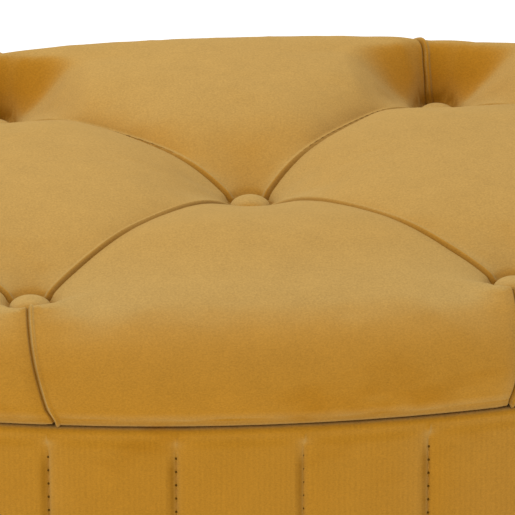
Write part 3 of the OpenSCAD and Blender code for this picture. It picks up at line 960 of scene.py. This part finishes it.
# ---- Steel ----------------------------------------------------------------------------
# Zinc-plated hinges, pins and screws, faintly brushed, and the staples of the dust cloth.
steel = Finish("zinc_steel", Metallic=1.0)
where = steel.place()
brush = steel.noise(steel.stretched(where, 40, 900, 900), 1.0, 3)
spots = steel.noise(where, 180, 4)
steel.set("Base Color", steel.mix(spots, (0.50, 0.51, 0.52), (0.66, 0.66, 0.65)))
steel.set("Roughness", brush * 0.18 + spots * 0.16 + 0.18)
steel.bump(brush, 0.00005, 0.4)
STAPLES, STAPLE_LEN, STAPLE_WIRE, STAPLE_HEIGHT, STAPLE_IN = 56, 0.010, 0.0009, 0.0006, 0.004
bm = bmesh.new()
for i in range(STAPLES):
    run = ROUND * (i + 0.5) / STAPLES
    ax, ay = (float(c) for c in on_oval(run - STAPLE_LEN / 2, TURN_IN + STAPLE_IN))
    bx, by = (float(c) for c in on_oval(run + STAPLE_LEN / 2, TURN_IN + STAPLE_IN))
    turn = math.atan2(by - ay, bx - ax)
    for v in bmesh.ops.create_cube(bm, size=1)["verts"]:
        lx, ly = v.co.x * STAPLE_LEN, v.co.y * STAPLE_WIRE
        v.co = ((ax + bx) / 2 + lx * math.cos(turn) - ly * math.sin(turn),
                (ay + by) / 2 + lx * math.sin(turn) + ly * math.cos(turn),
                low - 0.0002 + v.co.z * STAPLE_HEIGHT)
bmesh.ops.bevel(bm, geom=bm.edges[:], offset=0.0002, affect="EDGES", segments=2, profile=0.5, material=-1)
staples = new_piece("dust_cloth_staples", bm)
finish_piece(staples, "base", steel.material, "screw_steel")


def dress(material, *names):
    """Gives CAD nodes their finish."""
    for name in names:
        mesh = nodes[name].data
        mesh.materials.clear()
        mesh.materials.append(material)


dress(steel.material, *(n for n in nodes if n.startswith("hinge") or n.endswith("screws")))

# ---- Plywood --------------------------------------------------------------------------
# Birch plywood: pale, with long fine grain on the faces, and its plies as thin bands on
# the edges of the flat boards. The wall is bent from thin plywood, with upright grain.
def plywood(name, grain, plies):
    f = Finish(name, Roughness=0.6, Specular_IOR_Level=0.35)
    where = f.place()
    long = f.noise(f.stretched(where, *grain), 1.0, 4, 0.6)
    fine = f.noise(f.stretched(where, *(4 * g for g in grain)), 1.0, 2, 0.7)
    tone = f.mix(long * 1.6 - 0.3, (0.60, 0.41, 0.22), (0.76, 0.59, 0.37))
    tone = f.mix(fine * 0.5, tone, (0.47, 0.30, 0.15))
    if plies:
        band = bands(f, "Z", where, plies, 1.5, 2.0, 40.0)
        side = f.axis(f.node("ShaderNodeNewGeometry", {}, out=1), "Z").sum("ABSOLUTE")
        tone = f.mix(band * (1 - side) * 0.6, tone, (0.34, 0.20, 0.09))
    f.set("Base Color", tone)
    f.set("Roughness", fine * 0.2 + 0.5)
    f.bump(fine, 0.0002, 0.4)
    return f.material


dress(plywood("plywood_board", (5, 60, 60), 105.0), "base_board", "top_rim", "lid_board")
dress(plywood("plywood_bent", (60, 60, 5), 0), "side_wall", "frame_posts")

# ---- Twine and washers ----------------------------------------------------------------
# Waxed button twine, twisted, tied off through plastic washers.
twine = Finish("waxed_twine", Roughness=0.6)
where = twine.place()
twist = bands(twine, "DIAGONAL", where, 420.0, 1.0, 1.0)
twine.set("Base Color", twine.mix(twist, (0.50, 0.43, 0.30), (0.74, 0.68, 0.53)))
twine.bump(twist, 0.0003, 0.8)
dress(twine.material, "button_twines")
washer = Finish("white_washer", Roughness=0.45)
where = washer.place()
washer.set("Base Color", washer.mix(washer.noise(where, 90, 3), (0.62, 0.62, 0.60), (0.74, 0.74, 0.72)))
washer.bump(washer.noise(where, 900, 2), 0.0001, 0.3)
dress(washer.material, "button_washers")

# ---- Feet and felt pads ---------------------------------------------------------------
# Four moulded black plastic feet with a glide rim, screwed up into the floor board, and
# felt pads on the rim for the lid to land on.
moulded = Finish("black_plastic", Specular_IOR_Level=0.4)
where = moulded.place()
grainy = moulded.noise(where, 1500, 3, 0.6)
moulded.set("Base Color", moulded.mix(moulded.noise(where, 40, 3), (0.010, 0.010, 0.010),
                                      (0.020, 0.020, 0.021)))
moulded.set("Roughness", grainy * 0.25 + 0.35)
moulded.bump(grainy, 0.0001, 0.5)
for name in ("foot_front_left", "foot_front_right", "foot_back_left", "foot_back_right"):
    low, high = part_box(name)
    top_r, height = (high.x - low.x) / 2, high.z - low.z
    foot_r = top_r - 0.003
    shape = [(0, 0), (foot_r - 0.004, 0), (foot_r - 0.0012, 0.0003), (foot_r, 0.0015),
             (foot_r + 0.0002, 0.003), (foot_r - 0.0004, 0.0036), (foot_r - 0.0004, 0.0042),
             (foot_r + 0.0006, 0.0048),
             (top_r - 0.0006, height - 0.004), (top_r, height - 0.002), (top_r - 0.0003, height - 0.0004),
             (top_r - 0.003, height), (0, height)]
    centre = (low + high) / 2
    foot = spun("moulded_" + name, shape, (centre.x, centre.y, 0), segments=48)
    finish_piece(foot, "base", moulded.material, "foot_plastic", name)

felt = Finish("grey_felt", Roughness=1.0, Sheen_Weight=0.3, Specular_IOR_Level=0.05)
fuzz = felt.noise(felt.place(), 900, 4, 0.75)
felt.set("Base Color", felt.mix(fuzz, (0.030, 0.030, 0.031), (0.085, 0.084, 0.083)))
felt.bump(fuzz, 0.0006, 0.9)
low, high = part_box("rim_bumpers")
thick, pad_r = high.z - low.z, 0.006
shape = [(0, 0), (pad_r - 0.0003, 0), (pad_r, 0.0005), (pad_r, thick - 0.0007),
         (pad_r - 0.0006, thick - 0.0001), (pad_r - 0.002, thick), (0, thick)]
bm = bmesh.new()
for x in (low.x + pad_r, high.x - pad_r):
    for y in (low.y + pad_r, high.y - pad_r):
        pad = spun("pad", shape, (x, y, low.z), segments=32)
        bm.from_mesh(pad.data)
        bpy.data.objects.remove(pad)
pads = new_piece("felt_pads", bm)
finish_piece(pads, "base", felt.material, "felt", "rim_bumpers")
